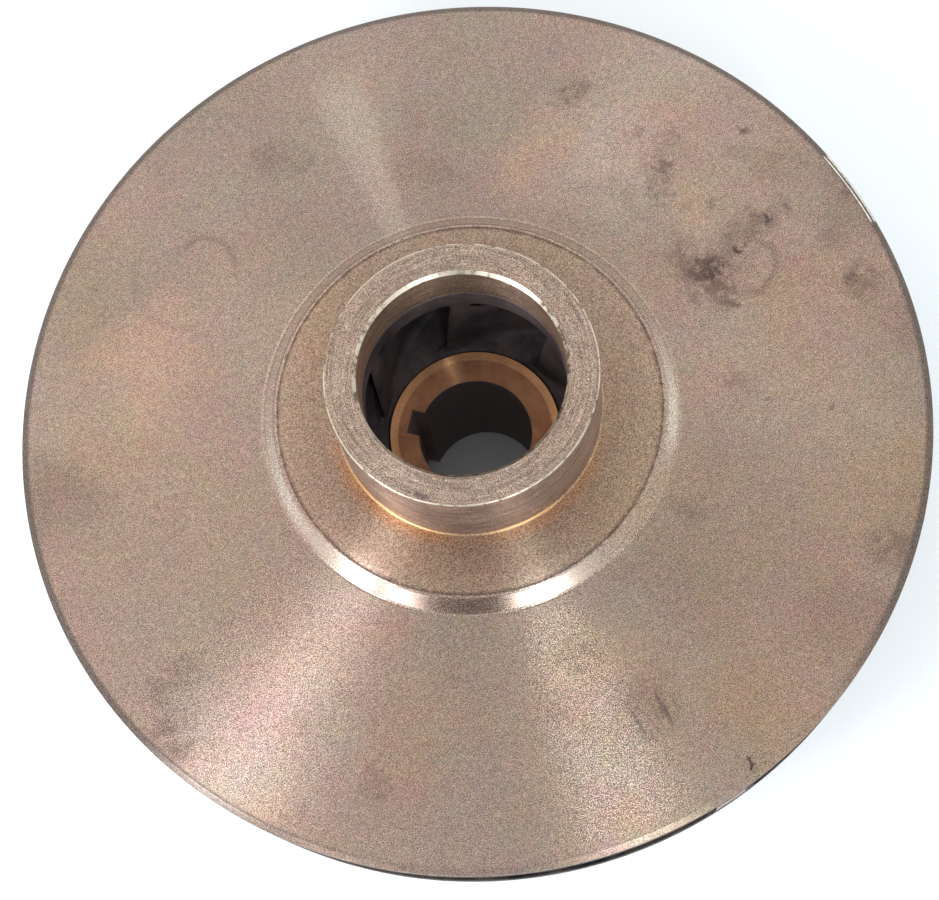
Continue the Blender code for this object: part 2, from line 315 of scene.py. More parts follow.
def paintMarks(tree, colour, place, radius, bearing, broad, fine):
    # what only the front carries: dirt, stains, drops, scratches, the boss's tint, a burr, and painted
    # light: a far-side highlight, an orange reflection and shade round the rim
    look, colours = discPatina, discPatina["colours"]
    plan = addNode(tree, "VectorMath", (place, onPlan))
    colour = smudged(tree, colour, plan, look)
    # a painted highlight: the near strip lamp's fan on the far side, painted pale
    farFanHighlight = look["farFanHighlight"]
    pale = addNode(tree, "Math", (within(tree, bearing, *farFanHighlight["stretch"]),
                                  within(tree, radius, farFanHighlight["inner"] * mm, farFanHighlight["outer"] * mm,
                                         farFanHighlight["soft"] * mm, farFanHighlight["strength"])))
    colour = addNode(tree, "Mix", {0: pale, 6: colour, 7: colours["pale"]}, 2)
    speckled = addNode(tree, "TexNoise", (place, 0, 1000 / look["stainLumpMm"], 3.0, 0.75))
    speckled = addNode(tree, "MapRange", (speckled, 0.3, 0.6, 0.0, 1.4))
    uneven = pushedPlan(tree, place, fine, 2.1)
    colour = paintPatches(tree, colour, uneven, look["stainsMm"], colours, speckled)
    colour = dropRims(tree, colour, pushedPlan(tree, place, broad, 1.5), look)
    colour = scuffs(tree, colour, plan, look)

    # the boss is a little browner, and carries a painted orange reflection of the collar's freshly cleaned
    # foot, strongest on the near sides
    boss, bossEdge, ringEdge = look["boss"], frontDisc["bossRadius"], ringSize["radius"]
    onBoss = addNode(tree, "MapRange", (radius, bossEdge + 0.3 * mm, bossEdge - 0.5 * mm, 0.0,
                                        boss["browner"]))
    colour = addNode(tree, "Mix", {0: onBoss, 6: colour, 7: colours["tan"]}, 2)
    paintedReflection = addNode(tree, "MapRange", (radius, ringEdge + boss["paintedReflectionWidth"] * mm, ringEdge + 0.3 * mm, 0.0,
                                      boss["paintedReflection"]))
    paintedReflection = addNode(tree, "Math", (paintedReflection, withinEither(tree, bearing, boss["paintedReflectionSides"])))
    colour = addNode(tree, "Mix", {0: paintedReflection, 6: colour, 7: colours["paintedReflection"]}, 2)

    # dirt along the boss's edge, broken up; then painted shade round the rim's bevel, with less of it on
    # the near side
    dirt = look["dirt"]
    broken = addNode(tree, "TexNoise", (place, 0, 1000 / dirt["lump"], 2.0, 0.7))
    broken = addNode(tree, "MapRange", (broken, 0.2, 0.6))
    edgeGap = addNode(tree, "Math", (radius, bossEdge), operation="SUBTRACT")
    edgeGap = addNode(tree, "Math", (edgeGap,), operation="ABSOLUTE")
    edgeLine = addNode(tree, "MapRange", (edgeGap, dirt["edgeWidth"] * mm, 0.1 * mm, 0.0, dirt["edge"]))
    edgeLine = addNode(tree, "Math", (edgeLine, broken))
    colour = addNode(tree, "Mix", {0: edgeLine, 6: colour, 7: colours["line"]}, 2)
    outside = frontSize["radius"]
    # painted shade of the rim's bevel
    rim = addNode(tree, "MapRange", (radius, outside - dirt["rimShadeFrom"] * mm, outside - dirt["rimShadeTo"] * mm))
    rimShadeStrength = addNode(tree, "Math", (dirt["rim"], within(tree, bearing, *dirt["nearRimLessShade"])),
                        operation="SUBTRACT")
    rim = addNode(tree, "Math", (rim, rimShadeStrength))
    colour = addNode(tree, "Mix", {0: rim, 6: colour, 7: colours["rim"]}, 2)

    # a burr raised in two short lines on the rim
    burr = look["burr"]
    lines = [(outside - far * mm, outside - near * mm, burr["soft"] * mm) for far, near in burr["lines"]]
    raised = withinEither(tree, radius, lines)
    raised = addNode(tree, "Math", (raised, within(tree, bearing, *burr["stretch"])))
    return addNode(tree, "Mix", {0: raised, 6: colour, 7: colours["burr"]}, 2)


def rubShoulder(tree, colour, radius, bearing):
    # two near stretches, smoother from rubbing and painted pale as highlights where the strip lamps fall on
    # them; a painted highlight band on the far side; painted shade between the two near stretches
    shoulder, colours = discPatina["shoulder"], discPatina["colours"]
    onShoulder = within(tree, radius, shoulder["in"] * mm, shoulder["out"] * mm, shoulder["soft"] * mm)
    rubbedHighlit = addNode(tree, "Math", (onShoulder, withinEither(tree, bearing, shoulder["rubbedHighlit"])))
    lighter = addNode(tree, "Math", (rubbedHighlit, shoulder["lighter"]))
    colour = addNode(tree, "Mix", {0: lighter, 6: colour, 7: colours["pale"]}, 2)
    nearSide = within(tree, bearing, *shoulder["nearSide"])
    farSide = addNode(tree, "Math", (1.0, nearSide), operation="SUBTRACT")
    farHighlight = within(tree, radius, *(edge * mm for edge in shoulder["farHighlight"]), shoulder["farHighlightShare"])
    farHighlight = addNode(tree, "Math", (farHighlight, farSide))
    colour = addNode(tree, "Mix", {0: farHighlight, 6: colour, 7: colours["burr"]}, 2)
    paintedShadeGap = addNode(tree, "Math", (onShoulder, within(tree, bearing, *shoulder["dull"])))
    colour = addNode(tree, "Mix", {0: paintedShadeGap, 6: colour, 7: colours["stain"]}, 2)
    return colour, addNode(tree, "Math", (rubbedHighlit, -shoulder["smoother"], 1.0), operation="MULTIPLY_ADD")


def makeDiscPatina(finish):
    look, colours = discPatina, discPatina["colours"]
    material, tree, place = newMaterial(finish["name"])
    radius, bearing = axisGap(tree, place), axisBearing(tree, place)
    blend = addNode(tree, "TexNoise", (place, 0, 1000 / look["blendMm"], 3.0, 0.62))
    blend = addNode(tree, "MapRange", (blend, 0.36, 0.64))
    colour = addNode(tree, "Mix", {0: blend, 6: colours["cool"], 7: colours["pink"]}, 2)
    broad = addNode(tree, "TexNoise", (place, 0, 1000 / look["broadMm"], 3.0, 0.6), "Color")
    fine = addNode(tree, "TexNoise", (place, 0, 1000 / look["fineMm"], 2.0, 0.7), "Color")
    if finish["marked"]:
        colour = paintPatches(tree, colour, pushedPlan(tree, place, broad, 9.0), look["cloudsMm"], colours)
    colour = mottled(tree, colour, broad, look["broadMottle"])
    colour = mottled(tree, colour, fine, look["fineMottle"])
    speckles = addNode(tree, "TexNoise", (place, 0, 1000 / look["speckleMm"], 2.0, 0.6))
    colour = grained(tree, colour, speckles, look["speckleContrast"])
    grain = addNode(tree, "TexNoise", (place, 0, 1000 / look["grainMm"], 1.0, 0.6))
    contrast, deep = look["grainContrast"], look["grainHeightMm"]
    if finish["marked"]:
        colour = paintMarks(tree, colour, place, radius, bearing, broad, fine)
        colour, smoother = rubShoulder(tree, colour, radius, bearing)
        # where the tool chattered the grain stands out; its colour contrast, raised only where the lamps'
        # fans fall, is painted sparkle of their highlights
        chatterAndSparkle = look["chatterAndSparkle"]
        patch = addNode(tree, "Math", (withinEither(tree, bearing, chatterAndSparkle["stretches"]),
                                       within(tree, radius, chatterAndSparkle["inner"] * mm, chatterAndSparkle["outer"] * mm,
                                              chatterAndSparkle["soft"] * mm)))
        contrast = addNode(tree, "Math", (patch, chatterAndSparkle["contrast"], contrast), operation="MULTIPLY_ADD")
        contrast = addNode(tree, "Math", (contrast, smoother))
        deep = addNode(tree, "Math", (patch, chatterAndSparkle["heightMm"], deep), operation="MULTIPLY_ADD")
        deep = addNode(tree, "Math", (deep, smoother))
    colour = grained(tree, colour, grain, contrast)
    height = withRings(tree, (grain, deep), radius, look["toolPitchMm"], look["toolHeightMm"])
    finishMetal(tree, colour, (grain, 0.2, finish["roughness"] - 0.1), height, look["metallic"],
                finish["anisotropy"])
    return material


# Turned bronze of the collar: greyer and sandier, with grit in its tool marks.
collarBronze = {
    "dark": "977f73", "middle": "a38b7b", "light": "b09a89", "blotch": "6d5a58", "warm": "b48c6e",
    "freshAndHighlit": "dcb07e", "roughness": 0.38, "anisotropy": 0.8, "metallic": 0.9, "grainMm": 0.22,
    "gritMm": 1.5, "mottleMm": 6, "smearMm": 3, "footMm": 12, "lineMm": 0.6, "lineContrast": 1.7,
    "lineLean": 0.02 * mm,
    "spotsMm": [(-15.8, -26.6, 1.1, "blotch", 0.8), (-14.6, -27.6, 0.9, "blotch", 0.8)],
    # the bright foot's two stretches of bearing are painted highlights of the strip lamps
    "smear": 0.6, "freshHeight": 0.9 * mm, "paintedHighlightSides": ((208, 236, 25, 0.6), (276, 290, 16, 0.6)),
    "freshAllRound": 0.35, "toolPitchMm": 0.6, "toolHeightMm": 0.005,
}


def makeCollarBronze():
    look = collarBronze
    material, tree, place = newMaterial("turnedBronzeSandyCollar")
    radius, bearing = axisGap(tree, place), axisBearing(tree, place)
    height = addNode(tree, "SeparateXYZ", (place,), "Z")
    grit = addNode(tree, "TexNoise", (place, 0, 1000 / look["gritMm"], 4.0, 0.7))
    colour = shaded(tree, grit, ((0.3, look["dark"]), (0.5, look["middle"]), (0.7, look["light"])))
    lumps = addNode(tree, "TexNoise", (place, 0, 1000 / look["mottleMm"], 3.0, 0.6), "Color")
    colour = mottled(tree, colour, lumps, 0.15)
    plan = addNode(tree, "VectorMath", (place, onPlan))
    colour = paintPatches(tree, colour, plan, look["spotsMm"], look)
    # smears along the wall, longer round it than up it
    stretched = addNode(tree, "VectorMath", (place, (0.35, 0.35, 1.5)))
    smears = addNode(tree, "TexNoise", (stretched, 0, 1000 / look["smearMm"], 4.0, 0.65))
    smears = addNode(tree, "MapRange", (smears, 0.42, 0.66))
    top = ringSize["top"]
    onWall = addNode(tree, "MapRange", (height, top - 0.6 * mm, top - 1.6 * mm, 0.0, look["smear"]))
    smears = addNode(tree, "Math", (smears, onWall))
    colour = addNode(tree, "Mix", {0: smears, 6: colour, 7: look["blotch"]}, 2)
    insideWall = addNode(tree, "MapRange", (radius, 28 * mm, 27 * mm, 0.0, look["smear"]))
    insideWall = addNode(tree, "Math", (insideWall, onWall))
    colour = addNode(tree, "Mix", {0: insideWall, 6: colour, 7: look["warm"]}, 2)
    # the foot was cleaned back to bright bronze all round, with painted highlights on the near left and
    # near right where the strip lamps catch it
    uneven = addNode(tree, "TexNoise", (place, 0, 1000 / look["footMm"], 1.0))
    uneven = addNode(tree, "Math", (uneven, mm, frontSize["top"] - 0.5 * mm), operation="MULTIPLY_ADD")
    above = addNode(tree, "Math", (height, uneven), operation="SUBTRACT")
    above = addNode(tree, "MapRange", (above, look["freshHeight"], 0.2 * mm))
    freshAndHighlit = addNode(tree, "Math", (withinEither(tree, bearing, look["paintedHighlightSides"]), look["freshAllRound"]),
                    operation="ADD")
    nearRing = addNode(tree, "MapRange", (radius, ringSize["radius"] + 6 * mm, ringSize["radius"] + 2 * mm))
    atFoot = addNode(tree, "Math", (above, addNode(tree, "Math", (freshAndHighlit, nearRing))))
    colour = addNode(tree, "Mix", {0: atFoot, 6: colour, 7: look["freshAndHighlit"]}, 2)
    # tool lines round the collar, then the grain, which is fainter on the foot's bright band
    turned = addNode(tree, "Math", (bearing, look["lineLean"]))
    around = addNode(tree, "CombineXYZ", (radius, turned, height))
    lines = addNode(tree, "TexNoise", (around, 0, 1000 / look["lineMm"], 3.0, 0.7))
    colour = grained(tree, colour, lines, look["lineContrast"])
    grain = addNode(tree, "TexNoise", (place, 0, 1000 / look["grainMm"], 1.0, 0.7))
    grain = addNode(tree, "MapRange", (grain, 0.38, 0.62))
    contrast = addNode(tree, "Math", (atFoot, -1.2, 1.6), operation="MULTIPLY_ADD")
    colour = grained(tree, colour, grain, contrast)
    along = addNode(tree, "Math", (radius, height), operation="ADD")
    height = withRings(tree, (grain, 0.008), along, look["toolPitchMm"], look["toolHeightMm"])
    finishMetal(tree, colour, (grain, 0.16, look["roughness"] - 0.08), height, look["metallic"],
                look["anisotropy"])
    return material


# Edges: clean bronze that handling keeps bright, its light colour also a painted edge highlight.
wornHighlitEdge = {"colour": "d8c8b4", "dull": "7d6b5b", "wearMm": 2.5, "stretchMm": 26, "roughness": 0.3}


def makeWornHighlitEdge():
    look = wornHighlitEdge
    material, tree, place = newMaterial("wornBronzeEdgeHighlit")
    wear = addNode(tree, "TexNoise", (place, 0, 1000 / look["wearMm"], 4.0, 0.7))
    stretches = addNode(tree, "TexNoise", (place, 0, 1000 / look["stretchMm"], 2.0))
    stretches = addNode(tree, "Math", (stretches, 0.7, -0.35), operation="MULTIPLY_ADD")
    shine = addNode(tree, "Math", (wear, stretches), operation="ADD")
    colour = shaded(tree, shine, ((0.4, look["dull"]), (0.54, look["colour"])))
    finishMetal(tree, colour, (wear, 0.15, look["roughness"] - 0.07))
    return material


# The discs' side walls and the slot between them: nearly black, partly from dry old dirt and partly as
# painted shade of the slot; it hardly shines.
grimeAndShadeBronze = {"dirt": "1a1615", "metal": "4a3d37", "dirtMm": 9, "grainMm": 0.5, "roughness": 0.6,
               "metallic": 0.15, "specular": 0.15, "toolPitchMm": 0.6, "toolHeightMm": 0.005}


def makeGrimeAndShadeBronze():
    look = grimeAndShadeBronze
    material, tree, place = newMaterial("turnedBronzeGrimeAndShade")
    radius, height = axisGap(tree, place), addNode(tree, "SeparateXYZ", (place,), "Z")
    squashed = addNode(tree, "VectorMath", (place, (1.0, 1.0, 3.0)))
    dirt = addNode(tree, "TexNoise", (squashed, 0, 1000 / look["dirtMm"], 5.0, 0.65))
    colour = shaded(tree, dirt, ((0.34, look["dirt"]), (0.6, look["metal"])))
    grain = addNode(tree, "TexNoise", (place, 0, 1000 / look["grainMm"], 2.0, 0.6))
    colour = grained(tree, colour, grain, 1.0)
    along = addNode(tree, "Math", (radius, height), operation="ADD")
    height = withRings(tree, (grain, 0.006), along, look["toolPitchMm"], look["toolHeightMm"])
    finishMetal(tree, colour, (dirt, 0.2, look["roughness"] - 0.1), height, look["metallic"],
                specular=look["specular"])
    return material


# Freshly faced bronze of the hub's nose: smooth red-brown copper with fine rings.
facedBronze = {"colour": "80583f", "deep": "664331", "light": "b98a5e", "edge": "4a2c22", "cloudMm": 9,
               "grainMm": 0.5, "lip": 0.2, "roughness": 0.26, "anisotropy": 0.9, "toolPitchMm": 0.4,
               "toolHeightMm": 0.002}


def makeFacedBronze():
    look = facedBronze
    material, tree, place = newMaterial("facedCopperBronze")
    radius, edge = axisGap(tree, place), hubSize["radius"]
    clouds = addNode(tree, "TexNoise", (place, 0, 1000 / look["cloudMm"], 4.0, 0.6))
    colour = shaded(tree, clouds, ((0.35, look["deep"]), (0.65, look["colour"])))
    lip = within(tree, radius, edge - shaftHub["lipWidth"], edge - 0.6 * mm, 0.4 * mm, look["lip"])
    colour = addNode(tree, "Mix", {0: lip, 6: colour, 7: look["light"]}, 2)
    rim = addNode(tree, "MapRange", (radius, edge - 0.5 * mm, edge - 0.1 * mm))
    colour = addNode(tree, "Mix", {0: rim, 6: colour, 7: look["edge"]}, 2)
    grain = addNode(tree, "TexNoise", (place, 0, 1000 / look["grainMm"], 2.0, 0.6))
    colour = grained(tree, colour, grain, 0.7)
    # the lip is polished
    clouded = addNode(tree, "Math", (clouds, 0.08, look["roughness"] - 0.04), operation="MULTIPLY_ADD")
    height = withRings(tree, (grain, 0.003), radius, look["toolPitchMm"], look["toolHeightMm"])
    finishMetal(tree, colour, (lip, -0.5, clouded), height, 1.0, look["anisotropy"])
    return material


# As-cast skin inside the passages: dark purple brown, grainy from the sand core.
castSkin = {"dark": "403738", "light": "6c5b5a", "cloudMm": 11, "sandMm": 1.4, "roughness": 0.66,
            "metallic": 0.3}


def makeCastSkin():
    look = castSkin
    material, tree, place = newMaterial("castBronzeSkin")
    clouds = addNode(tree, "TexNoise", (place, 0, 1000 / look["cloudMm"], 5.0, 0.6))
    colour = shaded(tree, clouds, ((0.35, look["dark"]), (0.65, look["light"])))
    sand = addNode(tree, "TexNoise", (place, 0, 1000 / look["sandMm"], 5.0, 0.65))
    colour = grained(tree, colour, sand, 0.8)
    height = addNode(tree, "Math", (sand, 0.3))
    finishMetal(tree, colour, (sand, 0.2, look["roughness"] - 0.1), height, look["metallic"])
    return material


# Bored bronze: reamed smooth, dark with old oil. The broached keyway's walls are lighter, partly cleaner
# broached metal and partly painted light that lifts the slot's shade.
boredBronze = {
    "bore": {"name": "boredBronzeOiled", "colour": "826c69", "dark": "6c5a59"},
    "keyway": {"name": "broachedBronzeKeywayPaintedLight", "colour": "b39b95", "dark": "9c857f"},
    "filmMm": 5, "roughness": 0.5, "metallic": 0.2,
}


def makeBoredBronze(look):
    material, tree, place = newMaterial(look["name"])
    film = addNode(tree, "TexNoise", (place, 0, 1000 / boredBronze["filmMm"], 3.0))
    colour = shaded(tree, film, ((0.3, look["dark"]), (0.7, look["colour"])))
    finishMetal(tree, colour, (film, 0.2, boredBronze["roughness"] - 0.1), None, boredBronze["metallic"])
    return material


frontDisc = {
    "bevelWidth": 1.4 * mm, "bevelHeight": 0.9 * mm, "sideBottom": 59.1 * mm,
    "bossRadius": 47.0 * mm, "bossHeight": 3.6 * mm,
    "grooveWidth": 0.5 * mm, "grooveDepth": 0.12 * mm, "edgeBreak": 0.15 * mm,
    "shoulderLean": 45, "shoulderRounding": 1.2 * mm, "brightSide": 0.5 * mm, "bevelEdge": 0.1 * mm,
    "mouthGap": 0.8 * mm,
    # rings of points between the edges, which keep the flat faces' quads short
    "bossRingsMm": (36, 42), "faceRingsMm": (60, 72, 84, 96, 108), "roofRingsMm": (96, 74),
}
shaftHub = {
    "boreRadius": 14.2875 * mm, "dish": 1.9 * mm, "noseEdge": 0.5 * mm, "endEdge": 1.0 * mm,
    "lipWidth": 2.1 * mm, "lipDrop": 0.75 * mm, "lipFall": 0.05 * mm, "mouthEdge": 0.2 * mm,
    "wallRing": 12 * mm, "boreRings": (16 * mm, 30 * mm),
    "keyWidth": 6.35 * mm, "keyRoof": 17.23 * mm, "keyAzimuth": 155, "keyOverrun": 20 * mm,
}
finishes = {
    "disc": makeDiscPatina(discPatina["turned"]),
    "shoulder": makeDiscPatina(discPatina["burnished"]),
    "back": makeDiscPatina(discPatina["back"]),
    "collar": makeCollarBronze(),
    "edge": makeWornHighlitEdge(),
    "grimeAndShade": makeGrimeAndShadeBronze(),
    "faced": makeFacedBronze(),
    "cast": makeCastSkin(),
    "bored": makeBoredBronze(boredBronze["bore"]),
    "keyway": makeBoredBronze(boredBronze["keyway"]),
}
print("finishes made:", len(finishes))


# Meshes

spinSteps = 384
wedges = 24  # one wedge is spun and then repeated, which is quicker than one long spin


def spunMesh(profile):
    # a closed outline of (radius, height, finish) turned about the shaft's axis
    shape = bmesh.new()
    corners = [shape.verts.new((r, 0.0, z)) for r, z, finish in profile]
    edges = [shape.edges.new((corners[i - 1], corners[i])) for i in range(1, len(corners))]
    edges.append(shape.edges.new((corners[-1], corners[0])))
    axis = {"cent": (0, 0, 0), "axis": (0, 0, 1), "dvec": (0, 0, 0), "use_merge": False}
    wedge = math.tau / wedges
    bmesh.ops.spin(shape, geom=corners + edges, angle=wedge, steps=spinSteps // wedges,
                   use_duplicate=False, **axis)
    parts = shape.verts[:] + shape.edges[:] + shape.faces[:]
    bmesh.ops.spin(shape, geom=parts, angle=math.tau - wedge, steps=wedges - 1, use_duplicate=True, **axis)
    bmesh.ops.remove_doubles(shape, verts=shape.verts, dist=0.002 * mm)
    return shape


def finishByProfile(shape, profile):
    # gives each face the finish of the outline's stretch that it came from; a finish runs to the next point
    names = list(finishes)
    stretches = []
    for i, (r, z, finish) in enumerate(profile):
        r2, z2, unused = profile[(i + 1) % len(profile)]
        stretches.append(((r + r2) / 2, (z + z2) / 2, names.index(finish)))
    found = {}
    for face in shape.faces:
        middle = face.calc_center_median()
        key = (round(middle.xy.length, 6), round(middle.z, 6))
        if key not in found:
            found[key] = min(stretches, key=lambda s: (s[0] - key[0]) ** 2 + (s[1] - key[1]) ** 2)[2]
        face.material_index = found[key]


def makePiece(name, shape, sharpAngle=28):
    bmesh.ops.recalc_face_normals(shape, faces=shape.faces)
    mesh = bpy.data.meshes.new(name)
    shape.to_mesh(mesh)
    shape.free()
    for material in finishes.values():
        mesh.materials.append(material)
    mesh.shade_smooth()
    mesh.set_sharp_from_angle(angle=math.radians(sharpAngle))
    piece = bpy.data.objects.new(name, mesh)
    bpy.context.scene.collection.objects.link(piece)
    return piece


def arc(centre, radius, start, end, steps):
    # points on an arc, angles in degrees from the outward direction
    points = []
    for i in range(steps + 1):
        angle = math.radians(start + (end - start) * i / steps)
        points.append((centre[0] + radius * math.cos(angle), centre[1] + radius * math.sin(angle)))
    return points


def outlined(*stretches):
    # a closed outline of (radius, height, finish), from stretches of points that have one finish
    return [(r, z, finish) for finish, points in stretches for r, z in points]


def spunPiece(name, outline):
    shape = spunMesh(outline)
    finishByProfile(shape, outline)
    return makePiece(name, shape)


# The passage roof, one smooth cast sweep from the eye down to the flat underside of the front disc
eyeWall = {"radius": 24.5 * mm, "machinedEnd": 79.1 * mm, "wallEnd": 74.3 * mm,
           "handle": (24.7 * mm, 66.0 * mm, 0)}
roofFlat = {"radius": 54 * mm, "height": 59.1 * mm, "handle": (33.0 * mm, 59.6 * mm, 0)}


def roofSweep(steps=40):
    start = Vector((eyeWall["radius"], eyeWall["wallEnd"], 0))
    end = Vector((roofFlat["radius"], roofFlat["height"], 0))
    handles = Vector(eyeWall["handle"]), Vector(roofFlat["handle"])
    return [(p.x, p.y) for p in interpolate_bezier(start, *handles, end, steps)]


def makeFrontDisc():
    size = frontDisc
    rim, bossTop = frontSize["radius"], frontSize["top"]
    face = bossTop - size["bossHeight"]
    side = face - size["bevelHeight"]
    edge, sideBottom = size["edgeBreak"], size["sideBottom"]
    groove, half = size["bossRadius"], size["grooveWidth"] / 2
    # the shoulder is a cone, rounded where it leaves the boss and filleted where it meets the flat
    lean, rounding = size["shoulderLean"], size["shoulderRounding"]
    crown = arc((groove + half, bossTop - rounding), rounding, 90, 90 - lean, 6)
    run = (size["bossHeight"] - 2 * (bossTop - crown[-1][1])) / math.tan(math.radians(lean))
    footCentre = crown[-1][0] + run + rounding * math.sin(math.radians(lean))
    foot = arc((footCentre, face + rounding), rounding, 270 - lean, 270, 6)
    sweep = [p for p in reversed(roofSweep()) if p[1] < ringSize["bottom"]]
    outline = outlined(
        ("shoulder", crown + foot[:-1]),
        ("disc", foot[-1:] + [(r * mm, face) for r in size["faceRingsMm"]]),
        ("disc", [(rim - size["bevelWidth"], face), (rim - edge, side + size["bevelEdge"])]),
        ("edge", [(rim, side - edge)]),
        ("grimeAndShade", [(rim, side - size["brightSide"]), (rim, sideBottom + edge)]),
        ("cast", [(rim - edge, sideBottom)] + [(r * mm, sideBottom) for r in size["roofRingsMm"]] + sweep),
        ("disc", [(sweep[-1][0] + size["mouthGap"], bossTop)]),
        ("disc", [(r * mm, bossTop) for r in size["bossRingsMm"]] + [(groove - half, bossTop)]),
        ("disc", [(groove, bossTop - size["grooveDepth"])]),
    )
    return spunPiece("frontDisc", outline)


eyeCollar = {"edgeBreak": 0.4 * mm, "chamfer": 0.8 * mm, "footFillet": 0.6 * mm, "castStep": 0.15 * mm,
             "wallRing": 12 * mm, "sunk": 0.2 * mm}


def makeEyeCollar():
    size = eyeCollar
    outer, top, bossTop = ringSize["radius"], ringSize["top"], frontSize["top"]
    foot, machinedEnd = bossTop - size["sunk"], eyeWall["machinedEnd"]
    fillet, edge, step = size["footFillet"], size["edgeBreak"], size["castStep"]
    inner = eyeWall["radius"] + step
    corner = arc((outer - edge, top - edge), edge, 90, 0, 4)
    outline = outlined(
        ("edge", corner[:-1]),
        ("collar", corner[-1:] + [(outer, bossTop + size["wallRing"])]),
        ("collar", arc((outer + fillet, bossTop + fillet), fillet, 180, 270, 6) + [(outer + fillet, foot)]),
        ("cast", [p for p in reversed(roofSweep()) if p[1] > foot] + [(eyeWall["radius"], machinedEnd)]),
        ("collar", [(inner, machinedEnd + step)]),
        ("edge", [(inner, top - size["chamfer"])]),
        ("collar", [(inner + size["chamfer"], top)]),
    )
    return spunPiece("eyeCollar", outline)


backDisc = {"wall": 3.8 * mm, "edgeBreak": 0.4 * mm, "topBreak": 0.2 * mm, "fillet": 8.0 * mm,
            "noseProud": 0.8 * mm, "hubSunk": 0.3 * mm, "grimeAndShadeFrom": 101 * mm,
            "undersideRingsMm": (96, 80, 64, 48, 38)}


def makeBackDisc():
    size = backDisc
    rim, floor = backSize["radius"], backSize["top"]
    under = floor - size["wall"]
    hub = hubSize["radius"]
    inner = hub - size["hubSunk"]
    fillet, edge, topEdge = size["fillet"], size["edgeBreak"], size["topBreak"]
    corner = arc((rim - edge, under + edge), edge, -10, -90, 4)
    outline = outlined(
        ("grimeAndShade", [(rim - topEdge, floor), (rim, floor - topEdge), (rim, under + edge)] + corner[:-1]),
        ("back", corner[-1:] + [(r * mm, under) for r in size["undersideRingsMm"]]),
        ("back", arc((hub + fillet, under - fillet), fillet, 90, 180, 16)),
        ("cast", [(inner, under - fillet - size["hubSunk"]), (inner, hubSize["top"] - size["noseProud"])]),
        # the passage floor's outer ring takes the nearly black finish, painted shade of the slot under the
        # front disc
        ("grimeAndShade", [(size["grimeAndShadeFrom"], floorHeight(size["grimeAndShadeFrom"]))]),
    )
    return spunPiece("backDisc", outline)


def makeShaftHub():
    size = shaftHub
    outer, top = hubSize["radius"], hubSize["top"]
    bore, mouth = size["boreRadius"], top - size["dish"]
    edge, endEdge, mouthEdge = size["noseEdge"], size["endEdge"], size["mouthEdge"]
    corner = arc((outer - edge, top - edge), edge, 75, 0, 5)
    outline = outlined(
        ("faced", [(outer - size["lipWidth"], top - size["lipDrop"])]),
        ("faced", [(outer - 1.2 * edge, top - size["lipFall"])] + corner[:-1]),
        ("back", corner[-1:] + [(outer, size["wallRing"]), (outer, endEdge)]),
        ("faced", [(outer - endEdge, 0.0)]),
        ("bored", [(bore + endEdge, 0.0), (bore, endEdge)]),
        ("bored", [(bore, height) for height in size["boreRings"]] + [(bore, mouth - mouthEdge)]),
        ("faced", [(bore + mouthEdge, mouth)]),
    )
    hub = spunPiece("shaftHub", outline)

    bar = bmesh.new()
    bmesh.ops.create_cube(bar, size=1.0)
    length = top + size["keyOverrun"]
    bmesh.ops.scale(bar, verts=bar.verts, vec=(size["keyRoof"], size["keyWidth"], length))
    bmesh.ops.translate(bar, verts=bar.verts, vec=(size["keyRoof"] / 2, 0, top / 2))
    turn = Matrix.Rotation(math.radians(size["keyAzimuth"]), 3, "Z")
    bmesh.ops.rotate(bar, verts=bar.verts, cent=(0, 0, 0), matrix=turn)
    for face in bar.faces:
        face.material_index = list(finishes).index("keyway")
    key = makePiece("keywayBar", bar)
    slot = hub.modifiers.new("keyway", "BOOLEAN")
    slot.operation, slot.solver, slot.object = "DIFFERENCE", "EXACT", key
    graph = bpy.context.evaluated_depsgraph_get()
    cut = bpy.data.meshes.new_from_object(hub.evaluated_get(graph))
    cut.set_sharp_from_angle(angle=math.radians(20))
    hub.modifiers.clear()
    hub.data = cut
    bpy.data.objects.remove(key, do_unlink=True)
    return hub


vaneShape = {
    "count": 6, "tipAzimuth": 290.0, "inletAngle": 25.8, "outletAngle": 32.6,
    "noseRadiusLow": 22.9 * mm, "noseRadiusHigh": 25.0 * mm, "noseReach": 2.6 * mm,
    "noseThickness": 3.0 * mm, "tipThickness": 4.4 * mm, "fillet": 2.4 * mm,
    "spanFrom": 21.4 * mm, "tipGap": 0.35 * mm, "sunk": 0.3 * mm,
    # columns crowd towards the nose, and rows towards the fillets at the floor and roof
    "columns": 44, "columnPower": 0.75, "rows": 15, "evenRows": 0.35,
}


def vaneAzimuth(radius):
    outlet = 1 / math.tan(math.radians(vaneShape["outletAngle"]))
    inlet = 1 / math.tan(math.radians(vaneShape["inletAngle"]))
    span = math.log(frontSize["radius"] / vaneShape["spanFrom"])
    reach = math.log(frontSize["radius"] / radius)
    swept = outlet * reach + (inlet - outlet) * reach ** 2 / (2 * span)
    return math.radians(vaneShape["tipAzimuth"]) + swept


def floorHeight(radius):
    low = hubSize["top"] - backDisc["noseProud"]
    share = (radius - hubSize["radius"]) / (backSize["radius"] - hubSize["radius"])
    return low + (backSize["top"] - low) * share


roofPoints = roofSweep(60)


def roofHeight(radius):
    if radius >= roofPoints[-1][0]:
        return roofFlat["height"]
    for (r1, z1), (r2, z2) in zip(roofPoints, roofPoints[1:]):
        if r1 <= radius <= r2:
            return z1 + (z2 - z1) * (radius - r1) / max(r2 - r1, 1e-9)
    return eyeWall["wallEnd"]


slopeStep = 0.001  # how far ahead, as a share of the radius, a vane's slope is measured


